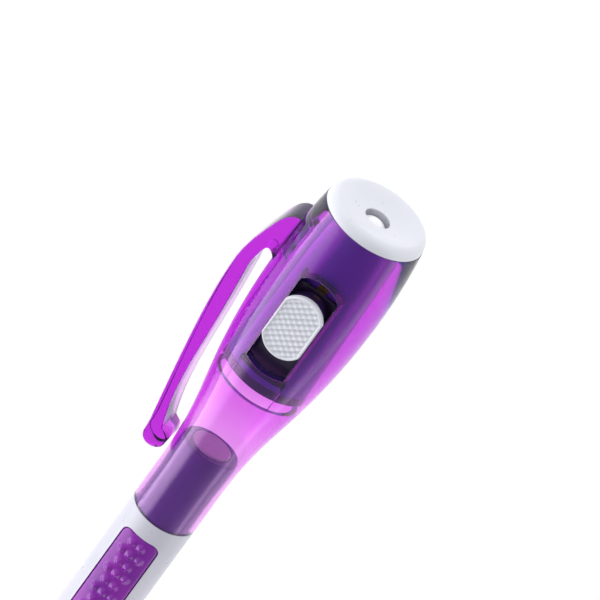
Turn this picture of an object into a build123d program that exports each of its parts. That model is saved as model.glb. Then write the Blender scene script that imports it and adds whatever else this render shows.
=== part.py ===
from build123d import *
import os
from math import sqrt

# Counterfeit detector pen: a fibre-tip detector marker with a slide-switched ultraviolet lamp in its
# rear end. Millimetres. +X runs along the pen towards the lamp, +Z points at the switch button and +Y
# at the pocket clip. The origin is on the pen's axis, in the barrel's plain front band.

# ---- driving dimensions ----
BARREL_R = 5.0
BARREL_FRONT_X = -5.0
BARREL_LENGTH = 51.0
BARREL_BORE_R = 3.3
TUBE_R = 4.15
NECK_R = 4.4
NECK_LENGTH = 13.4
HEAD_LENGTH = 57.2
HEAD_MAX_R = 8.63
HEAD_TOP_R = 7.75
HEAD_BORE_R = 6.35
CLIP_WIDTH = 5.6
BUTTON_WIDTH = 6.3
BUTTON_LENGTH = 10.2
BUTTON_TRAVEL = 2.2
GRIP_WIDTH = 6.4
GRIP_LENGTH = 37.4
GRIP_START = 2.8  # from the head to the grip
CAP_LENGTH = 27.0
CELL_R = 3.95
CELL_HEIGHT = 3.6
CELL_COUNT = 3
SLIP = 0.05  # radial gap of one piece sitting in another
WINDOW_GAP = 0.1  # side gap of the button in the head's window
SOCKET_R = NECK_R + SLIP

# ---- places along the axis ----
MOUTH_X = BARREL_FRONT_X + BARREL_LENGTH  # the head's open end meets the barrel's shoulder here
NECK_END_X = MOUTH_X + NECK_LENGTH
HEAD_TOP_X = MOUTH_X + HEAD_LENGTH
LEDGE_X = HEAD_TOP_X - 31.0  # step at the bottom of the head's wide bore
CARRIER_BACK_X = HEAD_TOP_X - 28.9
CARRIER_FRONT_X = HEAD_TOP_X - 0.1
BUTTON_X = HEAD_TOP_X - 16.0  # middle of the button, switched off
WINDOW_FRONT_X = HEAD_TOP_X - 8.0
WINDOW_BACK_X = HEAD_TOP_X - 25.3
CHANNEL_FRONT_X = HEAD_TOP_X - 8.7
CHANNEL_BACK_X = HEAD_TOP_X - 26.5
COVER_FRONT_X = CARRIER_BACK_X + 1.5
CELLS_BACK_X = COVER_FRONT_X + 1.8
CELLS_FRONT_X = CELLS_BACK_X + CELL_COUNT * CELL_HEIGHT
PLATE_FRONT_X = CELLS_FRONT_X + 0.3

os.makedirs("parts", exist_ok=True)

# A profile drawn on this plane has X along the pen and its second coordinate as the radius.
TURNING = Plane.XZ


def rounded_ends(length, width, front_rise, back_rise):
    """Outline with two straight sides and an arc at each end, centred on the sketch."""
    half_l = length / 2
    half_w = width / 2
    front = half_l - front_rise
    back = half_l - back_rise
    with BuildSketch(mode=Mode.PRIVATE) as outline:
        with BuildLine():
            Line((-back, -half_w), (front, -half_w))
            ThreePointArc((front, -half_w), (half_l, 0), (front, half_w))
            Line((front, half_w), (-back, half_w))
            ThreePointArc((-back, half_w), (-half_l, 0), (-back, -half_w))
        make_face()
    return outline.sketch


# ---- barrel sleeve: white tube with two windows for the raised grips ----
# A shallow groove ends its plain front band, which is the part that a pen holder grips.
SLEEVE_BORE_R = TUBE_R + SLIP
GRIP_X = MOUTH_X - GRIP_START - GRIP_LENGTH / 2
GRIP_CORNER_R = 1.5
EDGE = 0.3
GROOVE_X = 4.3
GROOVE_WIDTH = 0.8
GROOVE_DEPTH = 0.25


def grip_blank(inner_r, outer_r, gap):
    """Ring sector over the upper grip window, smaller in plan than the window by gap on every side."""
    with BuildPart(mode=Mode.PRIVATE) as blank:
        with BuildSketch(Plane.YZ.offset(GRIP_X - GRIP_LENGTH)):
            Circle(outer_r)
            Circle(inner_r, mode=Mode.SUBTRACT)
        extrude(amount=2 * GRIP_LENGTH)
        with BuildSketch(Plane((GRIP_X, 0, 0))):
            RectangleRounded(GRIP_LENGTH - 2 * gap, GRIP_WIDTH - 2 * gap, GRIP_CORNER_R)
        extrude(amount=2 * outer_r, mode=Mode.INTERSECT)
    return blank.part


grip_window = grip_blank(SLEEVE_BORE_R - 1.0, BARREL_R + 1.0, 0)
with BuildPart() as barrel_sleeve:
    with BuildSketch(TURNING):
        with BuildLine():
            Polyline(
                (BARREL_FRONT_X, SLEEVE_BORE_R),
                (BARREL_FRONT_X, BARREL_R - EDGE),
                (BARREL_FRONT_X + EDGE, BARREL_R),
                (GROOVE_X, BARREL_R),
                (GROOVE_X, BARREL_R - GROOVE_DEPTH),
                (GROOVE_X + GROOVE_WIDTH, BARREL_R - GROOVE_DEPTH),
                (GROOVE_X + GROOVE_WIDTH, BARREL_R),
                (MOUTH_X, BARREL_R),
                (MOUTH_X, SLEEVE_BORE_R),
                close=True,
            )
        make_face()
    revolve(axis=Axis.X)
    add(grip_window, mode=Mode.SUBTRACT)
    add(grip_window.mirror(Plane.XY), mode=Mode.SUBTRACT)
barrel_sleeve.part.label = "barrel_sleeve"
export_step(barrel_sleeve.part, "parts/barrel_sleeve.step")

# ---- inner barrel: purple tube whose two dotted grips stand up through the sleeve's windows ----
# Its back end is the wider neck that plugs into the head, and the sleeve butts against its step.
DOT_R = 0.5
DOT_SINK = 0.15
DOT_PITCH_X = 1.9
DOT_COLUMN_DEG = 18.0
DOT_MARGIN = 1.6
NECK_BORE_R = 2.95
NECK_BORE_LENGTH = 6.0


def grip_dots():
    """Places of the upper grip's dots: staggered rows round the barrel, like a diagonal grid."""
    places = []
    rows = int((GRIP_LENGTH - 2 * DOT_MARGIN) / DOT_PITCH_X)
    for row in range(rows + 1):
        x = GRIP_X - GRIP_LENGTH / 2 + DOT_MARGIN + row * DOT_PITCH_X
        steps = (-1, 0, 1) if row % 2 else (-0.5, 0.5)
        for step in steps:
            spot = Vector(0, 0, BARREL_R - DOT_SINK).rotate(Axis.X, step * DOT_COLUMN_DEG)
            places.append((x, spot.Y, spot.Z))
    return places


with BuildPart() as grip:
    add(grip_blank(BARREL_BORE_R + 0.4, BARREL_R, SLIP))
    with Locations(*grip_dots()):
        Sphere(DOT_R)

with BuildPart() as inner_barrel:
    with BuildSketch(TURNING):
        with BuildLine():
            Polyline(
                (BARREL_FRONT_X, BARREL_BORE_R),
                (BARREL_FRONT_X, TUBE_R),
                (MOUTH_X, TUBE_R),
                (MOUTH_X, NECK_R),
                (NECK_END_X - EDGE, NECK_R),
                (NECK_END_X, NECK_R - EDGE),
                (NECK_END_X, NECK_BORE_R),
                (NECK_END_X - NECK_BORE_LENGTH, NECK_BORE_R),
                (NECK_END_X - NECK_BORE_LENGTH, BARREL_BORE_R),
                close=True,
            )
        make_face()
    revolve(axis=Axis.X)
    add(grip.part)
    add(grip.part.mirror(Plane.XY))
inner_barrel.part.label = "inner_barrel"
export_step(inner_barrel.part, "parts/inner_barrel.step")

# ---- plug that closes the neck ----
PLUG_RISE = 0.4
PLUG_LENGTH = 3.5
with BuildPart() as barrel_plug:
    with BuildSketch(Plane.YZ.offset(NECK_END_X + PLUG_RISE - PLUG_LENGTH)):
        Circle(NECK_BORE_R)
    extrude(amount=PLUG_LENGTH)
    fillet(barrel_plug.faces().sort_by(Axis.X)[-1].edges(), EDGE)
barrel_plug.part.label = "barrel_plug"
export_step(barrel_plug.part, "parts/barrel_plug.step")

# ---- writing end: section, fibre nib, ink reservoir and its film sleeve ----
SECTION_R = 4.0
SECTION_COLLAR = 8.0
SECTION_SPIGOT = 7.0
CONE_LENGTH = 9.0
CONE_BACK_R = 3.5
CONE_TIP_R = 1.6
NIB_R = 1.0
NIB_REACH = 4.0
NIB_POINT_R = 0.45
NIB_POINT_LENGTH = 1.6
with BuildPart() as nib_section:
    with BuildSketch(TURNING):
        with BuildLine():
            Polyline(
                (BARREL_FRONT_X + SECTION_SPIGOT, NIB_R),
                (BARREL_FRONT_X + SECTION_SPIGOT, BARREL_BORE_R - EDGE),
                (BARREL_FRONT_X + SECTION_SPIGOT - EDGE, BARREL_BORE_R),
                (BARREL_FRONT_X, BARREL_BORE_R),
                (BARREL_FRONT_X, SECTION_R),
                (BARREL_FRONT_X - SECTION_COLLAR, SECTION_R),
                (BARREL_FRONT_X - SECTION_COLLAR, CONE_BACK_R),
                (BARREL_FRONT_X - SECTION_COLLAR - CONE_LENGTH, CONE_TIP_R),
                (BARREL_FRONT_X - SECTION_COLLAR - CONE_LENGTH, NIB_R),
                close=True,
            )
        make_face()
    revolve(axis=Axis.X)
nib_section.part.label = "nib_section"
export_step(nib_section.part, "parts/nib_section.step")

NIB_TIP_X = BARREL_FRONT_X - SECTION_COLLAR - CONE_LENGTH - NIB_REACH
RESERVOIR_BACK_X = BARREL_FRONT_X + SECTION_SPIGOT
with BuildPart() as fibre_nib:
    with BuildSketch(TURNING):
        with BuildLine():
            nib_side = Polyline(
                (NIB_TIP_X, 0),
                (RESERVOIR_BACK_X, 0),
                (RESERVOIR_BACK_X, NIB_R),
                (NIB_TIP_X + NIB_POINT_LENGTH, NIB_R),
                (NIB_TIP_X + NIB_POINT_R, NIB_POINT_R),
            )
            RadiusArc(nib_side @ 1, (NIB_TIP_X, 0), NIB_POINT_R)
        make_face()
    revolve(axis=Axis.X)
fibre_nib.part.label = "fibre_nib"
export_step(fibre_nib.part, "parts/fibre_nib.step")

RESERVOIR_R = 2.95
SLEEVE_WALL = 0.2
RESERVOIR_LENGTH = 47.0
with BuildPart() as ink_reservoir:
    with BuildSketch(Plane.YZ.offset(RESERVOIR_BACK_X)):
        Circle(RESERVOIR_R)
    extrude(amount=RESERVOIR_LENGTH)
ink_reservoir.part.label = "ink_reservoir"
export_step(ink_reservoir.part, "parts/ink_reservoir.step")

with BuildPart() as reservoir_sleeve:
    with BuildSketch(Plane.YZ.offset(RESERVOIR_BACK_X)):
        Circle(RESERVOIR_R + SLEEVE_WALL)
        Circle(RESERVOIR_R, mode=Mode.SUBTRACT)
    extrude(amount=RESERVOIR_LENGTH)
reservoir_sleeve.part.label = "reservoir_sleeve"
export_step(reservoir_sleeve.part, "parts/reservoir_sleeve.step")

# ---- pull-off nib cap with its inner seal ----
CAP_OPEN_X = BARREL_FRONT_X - 0.1
CAP_END_X = CAP_OPEN_X - CAP_LENGTH
CAP_R = 4.8
CAP_END_R = 4.1
CAP_BORE_R = SECTION_R + 0.08
CAP_BORE_END_R = 3.35
CAP_FLOOR = 1.6
CAP_DOME = 1.2
CAP_REACH = 1.0  # straight bore beyond the section's collar
with BuildPart() as nib_cap:
    with BuildSketch(TURNING):
        with BuildLine():
            cap_side = Polyline(
                (CAP_END_X + CAP_FLOOR, 0),
                (CAP_END_X + CAP_FLOOR, CAP_BORE_END_R),
                (CAP_OPEN_X - SECTION_COLLAR - CAP_REACH, CAP_BORE_R),
                (CAP_OPEN_X, CAP_BORE_R),
                (CAP_OPEN_X, CAP_R),
                (CAP_OPEN_X - SECTION_COLLAR, CAP_R),
                (CAP_END_X + CAP_DOME, CAP_END_R),
            )
            RadiusArc(cap_side @ 1, (CAP_END_X, CAP_END_R - CAP_DOME), -CAP_DOME)
            Line((CAP_END_X, CAP_END_R - CAP_DOME), (CAP_END_X, 0))
            Line((CAP_END_X, 0), (CAP_END_X + CAP_FLOOR, 0))
        make_face()
    revolve(axis=Axis.X)
nib_cap.part.label = "nib_cap"
export_step(nib_cap.part, "parts/nib_cap.step")

SEAL_R = 3.25
SEAL_BORE_R = 2.6
SEAL_LENGTH = 10.5
SEAL_FLOOR = 0.6
with BuildPart() as cap_seal:
    with BuildSketch(Plane.YZ.offset(CAP_END_X + CAP_FLOOR)):
        Circle(SEAL_R)
    extrude(amount=SEAL_LENGTH)
    with BuildSketch(Plane.YZ.offset(CAP_END_X + CAP_FLOOR + SEAL_FLOOR)):
        Circle(SEAL_BORE_R)
    extrude(amount=SEAL_LENGTH, mode=Mode.SUBTRACT)
cap_seal.part.label = "cap_seal"
export_step(cap_seal.part, "parts/cap_seal.step")

# ---- head shell: clear purple moulding with the lamp bore, the switch window and the clip's boss ----
BOSS_FACE_Y = 8.9
BOSS_SINK = 0.6
PIVOT_X = HEAD_TOP_X - 5.6
CLIP_ROOT_BACK_X = HEAD_TOP_X - 12.0
GUIDE_DEPTH = 0.3
GUIDE_OVERLAP = 1.0  # length by which the guide slots run past the window's back end
WINDOW_WIDTH = BUTTON_WIDTH + 2 * WINDOW_GAP
WINDOW_FRONT_RISE = 1.6
WINDOW_BACK_RISE = 0.6
LEDGE_INNER_R = 5.5
MAX_R_DEPTH = 14.0
WAIST_DEPTH = 31.5
WAIST_R = 7.15
TAIL_DEPTH = 41.0
TAIL_R = 5.55
COLLAR_LENGTH = 7.0  # straight part of the head over the barrel's neck


def head_outline():
    """Outer line of the head: widest behind the lamp, drawn in to the barrel's size at the mouth."""
    with BuildLine(mode=Mode.PRIVATE) as outline:
        swell = Spline(
            (HEAD_TOP_X, HEAD_TOP_R),
            (HEAD_TOP_X - MAX_R_DEPTH, HEAD_MAX_R),
            (HEAD_TOP_X - WAIST_DEPTH, WAIST_R),
            (HEAD_TOP_X - TAIL_DEPTH, TAIL_R),
            (MOUTH_X + COLLAR_LENGTH, BARREL_R),
            tangents=((-1, 0.14), (-1, 0)),
        )
        Line(swell @ 1, (MOUTH_X, BARREL_R))
    return outline.line


with BuildPart() as head_shell:
    with BuildSketch(TURNING):
        with BuildLine():
            add(head_outline())
            Polyline(
                (MOUTH_X, BARREL_R),
                (MOUTH_X, SOCKET_R),
                (NECK_END_X + PLUG_RISE, SOCKET_R),
                (LEDGE_X, LEDGE_INNER_R),
                (LEDGE_X, HEAD_BORE_R),
                (HEAD_TOP_X, HEAD_BORE_R),
                (HEAD_TOP_X, HEAD_TOP_R),
            )
        make_face()
    revolve(axis=Axis.X)
    with BuildSketch(Plane.XY):
        with BuildLine():
            Polyline(
                (PIVOT_X + 1.4, HEAD_BORE_R + BOSS_SINK),
                (PIVOT_X, BOSS_FACE_Y),
                (CLIP_ROOT_BACK_X, BOSS_FACE_Y),
                (CLIP_ROOT_BACK_X, HEAD_BORE_R + BOSS_SINK),
                close=True,
            )
        make_face()
    extrude(amount=CLIP_WIDTH / 2, both=True)
    with BuildSketch(Plane.XY.shift_origin(((WINDOW_FRONT_X + WINDOW_BACK_X) / 2, 0, 0))):
        add(
            rounded_ends(
                WINDOW_FRONT_X - WINDOW_BACK_X, WINDOW_WIDTH, WINDOW_FRONT_RISE, WINDOW_BACK_RISE
            )
        )
    extrude(amount=2 * HEAD_MAX_R, mode=Mode.SUBTRACT)
    with BuildSketch(Plane.YZ.offset(LEDGE_X)):
        with Locations((0, HEAD_BORE_R / 2)):
            Rectangle(WINDOW_WIDTH, HEAD_BORE_R + 2 * GUIDE_DEPTH)
        Circle(HEAD_BORE_R + GUIDE_DEPTH, mode=Mode.INTERSECT)
    extrude(amount=WINDOW_BACK_X - LEDGE_X + GUIDE_OVERLAP, mode=Mode.SUBTRACT)
head_shell.part.label = "head_shell"
export_step(head_shell.part, "parts/head_shell.step")

# ---- pocket clip: springy arm that leaves the head near the lamp and ends in a rounded bead ----
TIP_X = HEAD_TOP_X - 47.1
TIP_Y = 7.15
TIP_R = 1.75
SHOULDER = (HEAD_TOP_X - 9.4, 11.15)
CREST = (HEAD_TOP_X - 16.5, 12.52)
OUTER_MID = (HEAD_TOP_X - 31.5, 11.2)
OUTER_END = (HEAD_TOP_X - 45.5, 9.0)
INNER_END = (HEAD_TOP_X - 42.4, 8.1)
INNER_MID = (HEAD_TOP_X - 29.0, 9.72)
SLOT_START = (HEAD_TOP_X - 17.0, 10.7)
SLOT_END = (HEAD_TOP_X - 12.5, 10.1)
with BuildPart() as pocket_clip:
    with BuildSketch(Plane.XY):
        with BuildLine():
            shoulder = Spline(
                (PIVOT_X, BOSS_FACE_Y),
                SHOULDER,
                CREST,
                tangents=((-0.5, 1), (-1, 0)),
            )
            outer = ThreePointArc(shoulder @ 1, OUTER_MID, OUTER_END)
            nose = Spline(
                outer @ 1,
                (TIP_X - TIP_R, TIP_Y),
                (TIP_X, TIP_Y - TIP_R),
                (TIP_X + TIP_R, TIP_Y - 0.1),
                INNER_END,
                tangents=(outer % 1, (1, 0.38)),
            )
            inner = ThreePointArc(nose @ 1, INNER_MID, SLOT_START)
            crook = Spline(
                inner @ 1,
                SLOT_END,
                (CLIP_ROOT_BACK_X, BOSS_FACE_Y),
                tangents=(inner % 1, (0, -1)),
            )
            Line(crook @ 1, (PIVOT_X, BOSS_FACE_Y))
        make_face()
    extrude(amount=CLIP_WIDTH / 2, both=True)
pocket_clip.part.label = "pocket_clip"
export_step(pocket_clip.part, "parts/pocket_clip.step")

# ---- lamp bezel: dished white end cap that plugs into the carrier and holds the lamp's nose ----
BEZEL_R = HEAD_TOP_R - 0.05
BEZEL_SHOULDER_R = 7.33
BEZEL_SHOULDER_RISE = 1.12
BEZEL_RIM_R = 6.45
BEZEL_RIM_RISE = 1.65
BEZEL_DISH_RISE = 0.65
BEZEL_SLOPE_R = 4.4
BEZEL_SLOPE_RISE = 1.2
LAMP_LIP = 0.25  # thickness of the bezel's lip that covers the ring's end
LAMP_HOLE_R = 1.95
LAMP_RING_WALL = 0.2
LAMP_RING_LENGTH = 1.1
LED_R = 2.5
LED_RECESS = 0.48
SPIGOT_R = 5.3
SPIGOT_WALL = 0.9
SPIGOT_LENGTH = 2.6
LAMP_SLEEVE_R = 3.3
LAMP_SLEEVE_LENGTH = 2.8
BEZEL_PLATE = 0.9
bezel_face_x = HEAD_TOP_X + BEZEL_DISH_RISE
lamp_lip_x = bezel_face_x - LAMP_LIP
lamp_step_x = lamp_lip_x - LAMP_RING_LENGTH
with BuildPart() as lamp_bezel:
    with BuildSketch(TURNING):
        with BuildLine():
            rim = ThreePointArc(
                (HEAD_TOP_X, BEZEL_R),
                (HEAD_TOP_X + BEZEL_SHOULDER_RISE, BEZEL_SHOULDER_R),
                (HEAD_TOP_X + BEZEL_RIM_RISE, BEZEL_RIM_R),
            )
            dish = Spline(
                rim @ 1,
                (HEAD_TOP_X + BEZEL_SLOPE_RISE, BEZEL_SLOPE_R),
                (bezel_face_x, LAMP_HOLE_R),
                tangents=((0, -1), (-0.1, -1)),
            )
            Polyline(
                dish @ 1,
                (lamp_lip_x, LAMP_HOLE_R),
                (lamp_lip_x, LAMP_HOLE_R + LAMP_RING_WALL),
                (lamp_step_x, LAMP_HOLE_R + LAMP_RING_WALL),
                (lamp_step_x, LED_R + SLIP),
                (HEAD_TOP_X - LAMP_SLEEVE_LENGTH, LED_R + SLIP),
                (HEAD_TOP_X - LAMP_SLEEVE_LENGTH, LAMP_SLEEVE_R),
                (HEAD_TOP_X - BEZEL_PLATE, LAMP_SLEEVE_R),
                (HEAD_TOP_X - BEZEL_PLATE, SPIGOT_R - SPIGOT_WALL),
                (HEAD_TOP_X - SPIGOT_LENGTH, SPIGOT_R - SPIGOT_WALL),
                (HEAD_TOP_X - SPIGOT_LENGTH, SPIGOT_R),
                (HEAD_TOP_X, SPIGOT_R),
                (HEAD_TOP_X, BEZEL_R),
            )
        make_face()
    revolve(axis=Axis.X)
lamp_bezel.part.label = "lamp_bezel"
export_step(lamp_bezel.part, "parts/lamp_bezel.step")

# ---- bright ring that lines the lamp's hole ----
with BuildPart() as lamp_ring:
    with BuildSketch(Plane.YZ.offset(lamp_step_x)):
        Circle(LAMP_HOLE_R + LAMP_RING_WALL)
        Circle(LAMP_HOLE_R, mode=Mode.SUBTRACT)
    extrude(amount=LAMP_RING_LENGTH)
lamp_ring.part.label = "lamp_ring"
export_step(lamp_ring.part, "parts/lamp_ring.step")

# ---- ultraviolet lamp: clear domed body with its two leads ----
LED_BACK_X = HEAD_TOP_X - 9.0
LED_DOME_X = bezel_face_x - LED_RECESS - LED_R
FLANGE_R = 2.9
FLANGE_LENGTH = 1.0
dome_neck_x = LED_DOME_X + sqrt(LED_R**2 - LAMP_HOLE_R**2)
with BuildPart() as uv_lamp:
    with BuildSketch(TURNING):
        with BuildLine():
            back = Polyline(
                (LED_DOME_X + LED_R, 0),
                (LED_BACK_X, 0),
                (LED_BACK_X, FLANGE_R),
                (LED_BACK_X + FLANGE_LENGTH, FLANGE_R),
                (LED_BACK_X + FLANGE_LENGTH, LED_R),
                (LED_DOME_X, LED_R),
            )
            ThreePointArc(back @ 1, (dome_neck_x, LAMP_HOLE_R), (LED_DOME_X + LED_R, 0))
        make_face()
    revolve(axis=Axis.X)
uv_lamp.part.label = "uv_lamp"
export_step(uv_lamp.part, "parts/uv_lamp.step")

LEAD_SPACING = 2.54
LEAD_SIDE = 0.5
with BuildPart() as lamp_leads:
    with BuildSketch(Plane.YZ.offset(PLATE_FRONT_X)):
        with GridLocations(LEAD_SPACING, 0, 2, 1):
            Rectangle(LEAD_SIDE, LEAD_SIDE)
    extrude(amount=LED_BACK_X - PLATE_FRONT_X)
lamp_leads.part.label = "lamp_leads"
export_step(lamp_leads.part, "parts/lamp_leads.step")

# ---- carrier: dark inner body with the cell bore, the lamp pocket and the switch channel ----
CARRIER_R = HEAD_BORE_R - SLIP
CELL_BORE_R = CELL_R + 0.1
LAMP_POCKET_R = 3.4
CHANNEL_WIDTH = 6.4
CHANNEL_FLOOR_Z = 4.5
STRIP_WALL = 0.15
STRIP_WIDTH = 1.6
strip_back_x = BUTTON_X + 2.0
with BuildPart() as lamp_carrier:
    with BuildSketch(Plane.YZ.offset(COVER_FRONT_X)):
        Circle(CARRIER_R)
    extrude(amount=CARRIER_FRONT_X - COVER_FRONT_X)
    with BuildSketch(Plane.YZ.offset(COVER_FRONT_X)):
        Circle(CELL_BORE_R)
    extrude(amount=PLATE_FRONT_X - COVER_FRONT_X, mode=Mode.SUBTRACT)
    with BuildSketch(Plane.YZ.offset(PLATE_FRONT_X)):
        Circle(LAMP_POCKET_R)
    extrude(amount=CARRIER_FRONT_X - PLATE_FRONT_X, mode=Mode.SUBTRACT)
    with BuildSketch(Plane.YZ.offset(HEAD_TOP_X - SPIGOT_LENGTH - SLIP)):
        Circle(SPIGOT_R + SLIP)
    extrude(amount=SPIGOT_LENGTH, mode=Mode.SUBTRACT)
    with BuildSketch(Plane.YZ.offset(CHANNEL_BACK_X)):
        with Locations((0, CHANNEL_FLOOR_Z + CARRIER_R / 2)):
            Rectangle(CHANNEL_WIDTH, CARRIER_R)
    extrude(amount=CHANNEL_FRONT_X - CHANNEL_BACK_X, mode=Mode.SUBTRACT)
    with BuildSketch(Plane.XY.offset(CHANNEL_FLOOR_Z)):
        with Locations(((strip_back_x + CHANNEL_FRONT_X) / 2, 0)):
            Rectangle(CHANNEL_FRONT_X - strip_back_x, STRIP_WIDTH)
    extrude(amount=-STRIP_WALL, mode=Mode.SUBTRACT)
lamp_carrier.part.label = "lamp_carrier"
export_step(lamp_carrier.part, "parts/lamp_carrier.step")

with BuildPart() as switch_contact_strip:
    with BuildSketch(Plane.XY.offset(CHANNEL_FLOOR_Z)):
        with Locations(((strip_back_x + CHANNEL_FRONT_X) / 2, 0)):
            Rectangle(CHANNEL_FRONT_X - strip_back_x, STRIP_WIDTH)
    extrude(amount=-STRIP_WALL)
switch_contact_strip.part.label = "switch_contact_strip"
export_step(switch_contact_strip.part, "parts/switch_contact_strip.step")

COVER_SPIGOT_WALL = 0.8
COVER_SPIGOT_LENGTH = 1.0
with BuildPart() as cell_cover:
    with BuildSketch(Plane.YZ.offset(CARRIER_BACK_X)):
        Circle(CARRIER_R)
    extrude(amount=COVER_FRONT_X - CARRIER_BACK_X)
    with BuildSketch(Plane.YZ.offset(COVER_FRONT_X)):
        Circle(CELL_BORE_R - SLIP)
        Circle(CELL_BORE_R - COVER_SPIGOT_WALL, mode=Mode.SUBTRACT)
    extrude(amount=COVER_SPIGOT_LENGTH)
cell_cover.part.label = "cell_cover"
export_step(cell_cover.part, "parts/cell_cover.step")

# ---- cells, their spring and the front contact ----
CELL_STEP = 0.7
CELL_STEP_HEIGHT = 0.5
for number in range(CELL_COUNT):
    cell_back_x = CELLS_BACK_X + number * CELL_HEIGHT
    with BuildPart() as button_cell:
        with BuildSketch(Plane.YZ.offset(cell_back_x)):
            Circle(CELL_R - CELL_STEP)
        extrude(amount=CELL_HEIGHT)
        with BuildSketch(Plane.YZ.offset(cell_back_x + CELL_STEP_HEIGHT)):
            Circle(CELL_R)
        extrude(amount=CELL_HEIGHT - CELL_STEP_HEIGHT)
    button_cell.part.label = f"button_cell_{number + 1}"
    export_step(button_cell.part, f"parts/button_cell_{number + 1}.step")

SPRING_WIRE_R = 0.18
SPRING_R = 2.6
SPRING_TURNS = 3
spring_height = CELLS_BACK_X - COVER_FRONT_X - 2 * SPRING_WIRE_R
spring_foot = (COVER_FRONT_X + SPRING_WIRE_R, 0, 0)
with BuildPart() as cell_spring:
    with BuildLine():
        coil = Helix(
            spring_height / SPRING_TURNS, spring_height, SPRING_R, center=spring_foot, direction=(1, 0, 0)
        )
    with BuildSketch(Plane(coil @ 0, z_dir=coil % 0)):
        Circle(SPRING_WIRE_R)
    sweep(path=coil, is_frenet=True)
cell_spring.part.label = "cell_spring"
export_step(cell_spring.part, "parts/cell_spring.step")

with BuildPart() as front_contact:
    with BuildSketch(Plane.YZ.offset(CELLS_FRONT_X)):
        Circle(CELL_BORE_R - SLIP)
    extrude(amount=PLATE_FRONT_X - CELLS_FRONT_X)
front_contact.part.label = "front_contact"
export_step(front_contact.part, "parts/front_contact.step")

# ---- slide switch: dark slider whose raised block carries the white thumb button ----
SLIDER_BOTTOM_Z = 4.65
SLIDER_TOP_Z = 5.4
SLIDER_WIDTH = 6.1
SLIDER_LENGTH = 15.0
SLIDER_END_GAP = 0.3
SLIDER_FRONT_X = CHANNEL_FRONT_X - BUTTON_TRAVEL - SLIDER_END_GAP
BLOCK_TOP_Z = 8.4
BLOCK_INSET = 0.15
BUTTON_RISE = 2.0  # bow of the button's two ends
NECKED_TOP_Z = 6.5  # below this the block is short, to pass under the window's front edge
NECKED_LENGTH = 6.0
NECKED_WIDTH = 4.6
BUTTON_TOP_Z = 9.5
BUTTON_BEVEL = 0.35
PEG_LENGTH = 4.0
PEG_WIDTH = 2.0
PEG_DEPTH = 1.4
with BuildPart() as switch_slider:
    with BuildSketch(Plane.XY.offset(SLIDER_BOTTOM_Z)):
        with Locations((SLIDER_FRONT_X - SLIDER_LENGTH / 2, 0)):
            Rectangle(SLIDER_LENGTH, SLIDER_WIDTH)
    extrude(amount=SLIDER_TOP_Z - SLIDER_BOTTOM_Z)
    with BuildSketch(Plane((BUTTON_X, 0, SLIDER_TOP_Z))):
        Rectangle(NECKED_LENGTH, NECKED_WIDTH)
    extrude(amount=NECKED_TOP_Z - SLIDER_TOP_Z)
    with BuildSketch(Plane((BUTTON_X, 0, NECKED_TOP_Z))):
        add(
            rounded_ends(
                BUTTON_LENGTH - 2 * BLOCK_INSET,
                BUTTON_WIDTH - 2 * BLOCK_INSET,
                BUTTON_RISE,
                BUTTON_RISE,
            )
        )
    extrude(amount=BLOCK_TOP_Z - NECKED_TOP_Z)
    with BuildSketch(Plane((BUTTON_X, 0, BLOCK_TOP_Z))):
        Rectangle(PEG_LENGTH, PEG_WIDTH)
    extrude(amount=-PEG_DEPTH, mode=Mode.SUBTRACT)
switch_slider.part.label = "switch_slider"
export_step(switch_slider.part, "parts/switch_slider.step")

with BuildPart() as switch_button:
    with BuildSketch(Plane((BUTTON_X, 0, BLOCK_TOP_Z))):
        add(rounded_ends(BUTTON_LENGTH, BUTTON_WIDTH, BUTTON_RISE, BUTTON_RISE))
    extrude(amount=BUTTON_TOP_Z - BLOCK_TOP_Z)
    fillet(switch_button.faces().sort_by(Axis.Z)[-1].edges(), BUTTON_BEVEL)
    with BuildSketch(Plane((BUTTON_X, 0, BLOCK_TOP_Z))):
        Rectangle(PEG_LENGTH, PEG_WIDTH)
    extrude(amount=-PEG_DEPTH)
switch_button.part.label = "switch_button"
export_step(switch_button.part, "parts/switch_button.step")

LEAF_LENGTH = 4.0
LEAF_GAP = 0.03  # the leaf just clears the contact strip
with BuildPart() as switch_leaf:
    with BuildSketch(Plane.XY.offset(SLIDER_BOTTOM_Z)):
        with Locations((BUTTON_X, 0)):
            Rectangle(LEAF_LENGTH, STRIP_WIDTH)
    extrude(amount=CHANNEL_FLOOR_Z + LEAF_GAP - SLIDER_BOTTOM_Z)
switch_leaf.part.label = "switch_leaf"
export_step(switch_leaf.part, "parts/switch_leaf.step")
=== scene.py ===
import bmesh
import bpy
import math
import numpy as np
from mathutils import Matrix, Vector


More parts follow.
